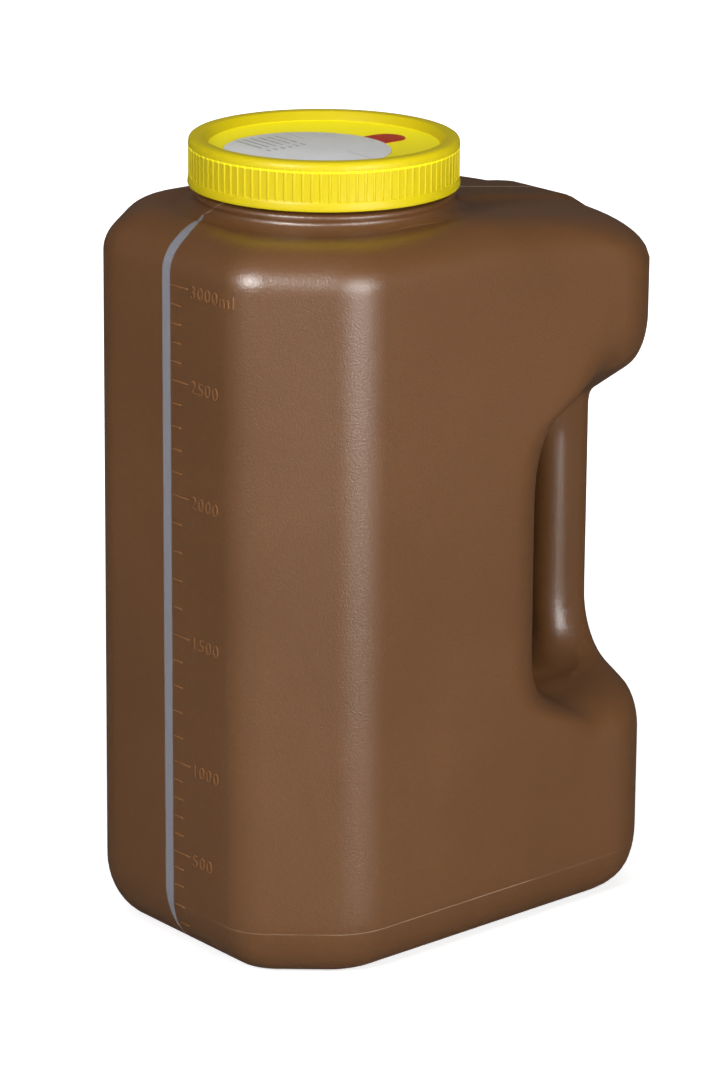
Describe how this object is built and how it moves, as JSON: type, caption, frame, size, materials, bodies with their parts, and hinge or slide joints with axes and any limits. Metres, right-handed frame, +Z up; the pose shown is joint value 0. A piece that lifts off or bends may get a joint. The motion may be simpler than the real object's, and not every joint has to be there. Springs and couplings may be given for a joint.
{
  "type": "specimen container",
  "caption": "Three litre collection bottle with a grip behind a finger gap, ribbed screw cap and a covered sampling well with a sleeved needle.",
  "frame": {"origin": "centre of the bounding box's underside, on the plane the bottle stands on", "axes": "+Z up, -Y towards the graduated front face, +Y towards the grip; the mould's parting plane is X = 0"},
  "size_m": [0.1184, 0.158, 0.2518],
  "materials": {
    "bottle": "satin brown blow-moulded polyethylene",
    "seal_ring": "soft foam liner",
    "cap": "satin yellow moulding",
    "cannula": "drawn steel",
    "needle_sleeve": "matt rubber",
    "label": "satin film",
    "pull_tab": "satin film"
  },
  "bodies": {
    "bottle": {"bottle": "bottle"},
    "liner": {"seal_ring": "seal_ring"},
    "cap": {"cap": "cap", "cannula": "cannula", "needle_sleeve": "needle_sleeve", "label": "label", "pull_tab": "pull_tab"}
  },
  "joints": [
    {"name": "lid_lift", "type": "slide", "parent": "bottle", "child": "liner", "axis": [0, 0, 1], "range_m": [0, 0.06]},
    {"name": "lid_turn", "type": "hinge", "parent": "liner", "child": "cap", "pos_m": [0, -0.0179, 0.24], "axis": [0, 0, 1], "range_deg": [0, 450]}
  ]
}
